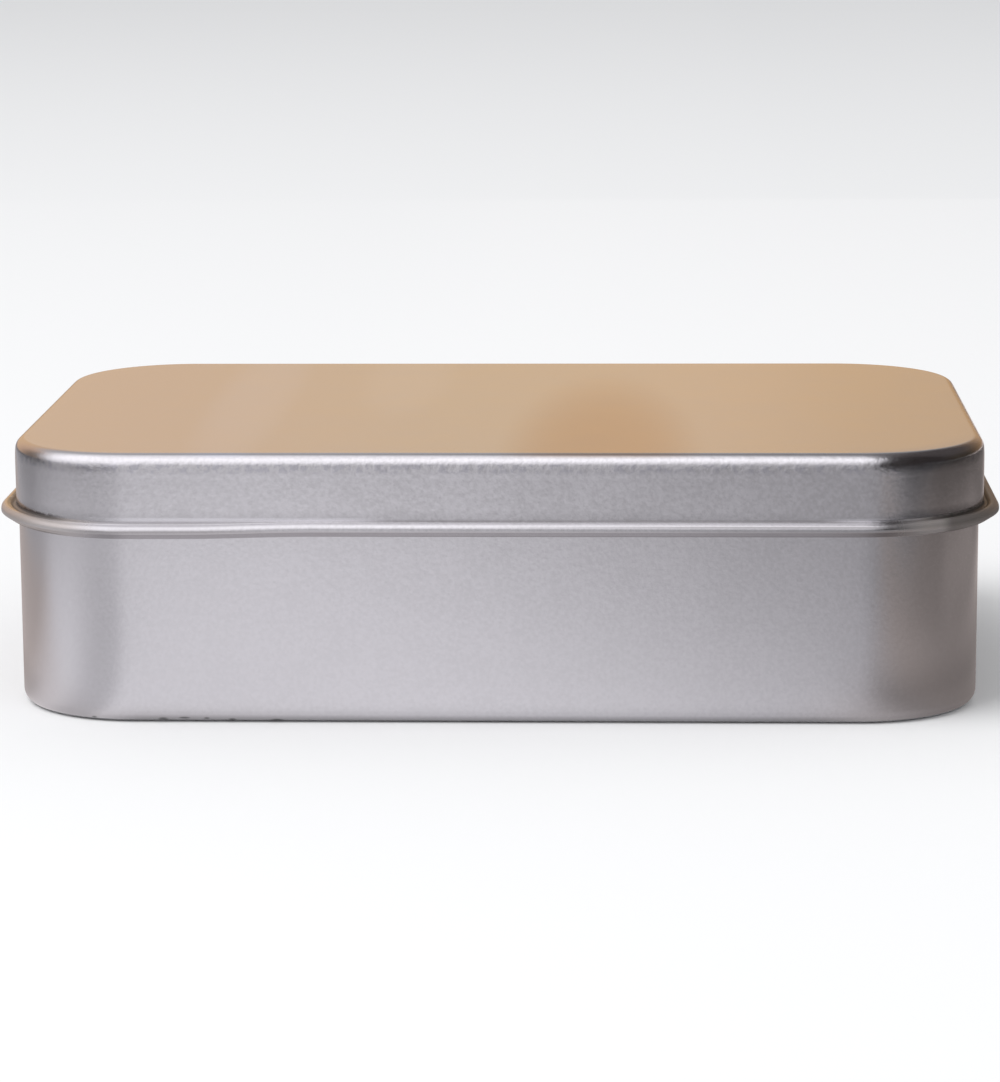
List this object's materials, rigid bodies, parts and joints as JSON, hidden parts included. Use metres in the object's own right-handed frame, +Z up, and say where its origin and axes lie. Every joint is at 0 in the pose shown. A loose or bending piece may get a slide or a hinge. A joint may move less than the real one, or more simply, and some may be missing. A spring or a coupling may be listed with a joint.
{
  "type": "soap tin",
  "caption": "Shut pocket tin for a bar of soap: low bare tinplate box with rounded corners and a pressed slip lid with a curled edge.",
  "frame": {"origin": "on the surface that the tin stands on, under the middle of its base", "axes": "+X along the long side, +Y from the front long side to the back one, +Z up through the lid"},
  "size_m": [0.1, 0.066, 0.0268],
  "materials": {
    "body_tinplate": "satin bare tinplate with a fine grain",
    "lid_tinplate": "satin bare tinplate, brighter on its rounded edge and curl"
  },
  "bodies": {
    "root": {"body": "body_tinplate", "lid": "lid_tinplate"}
  },
  "joints": []
}
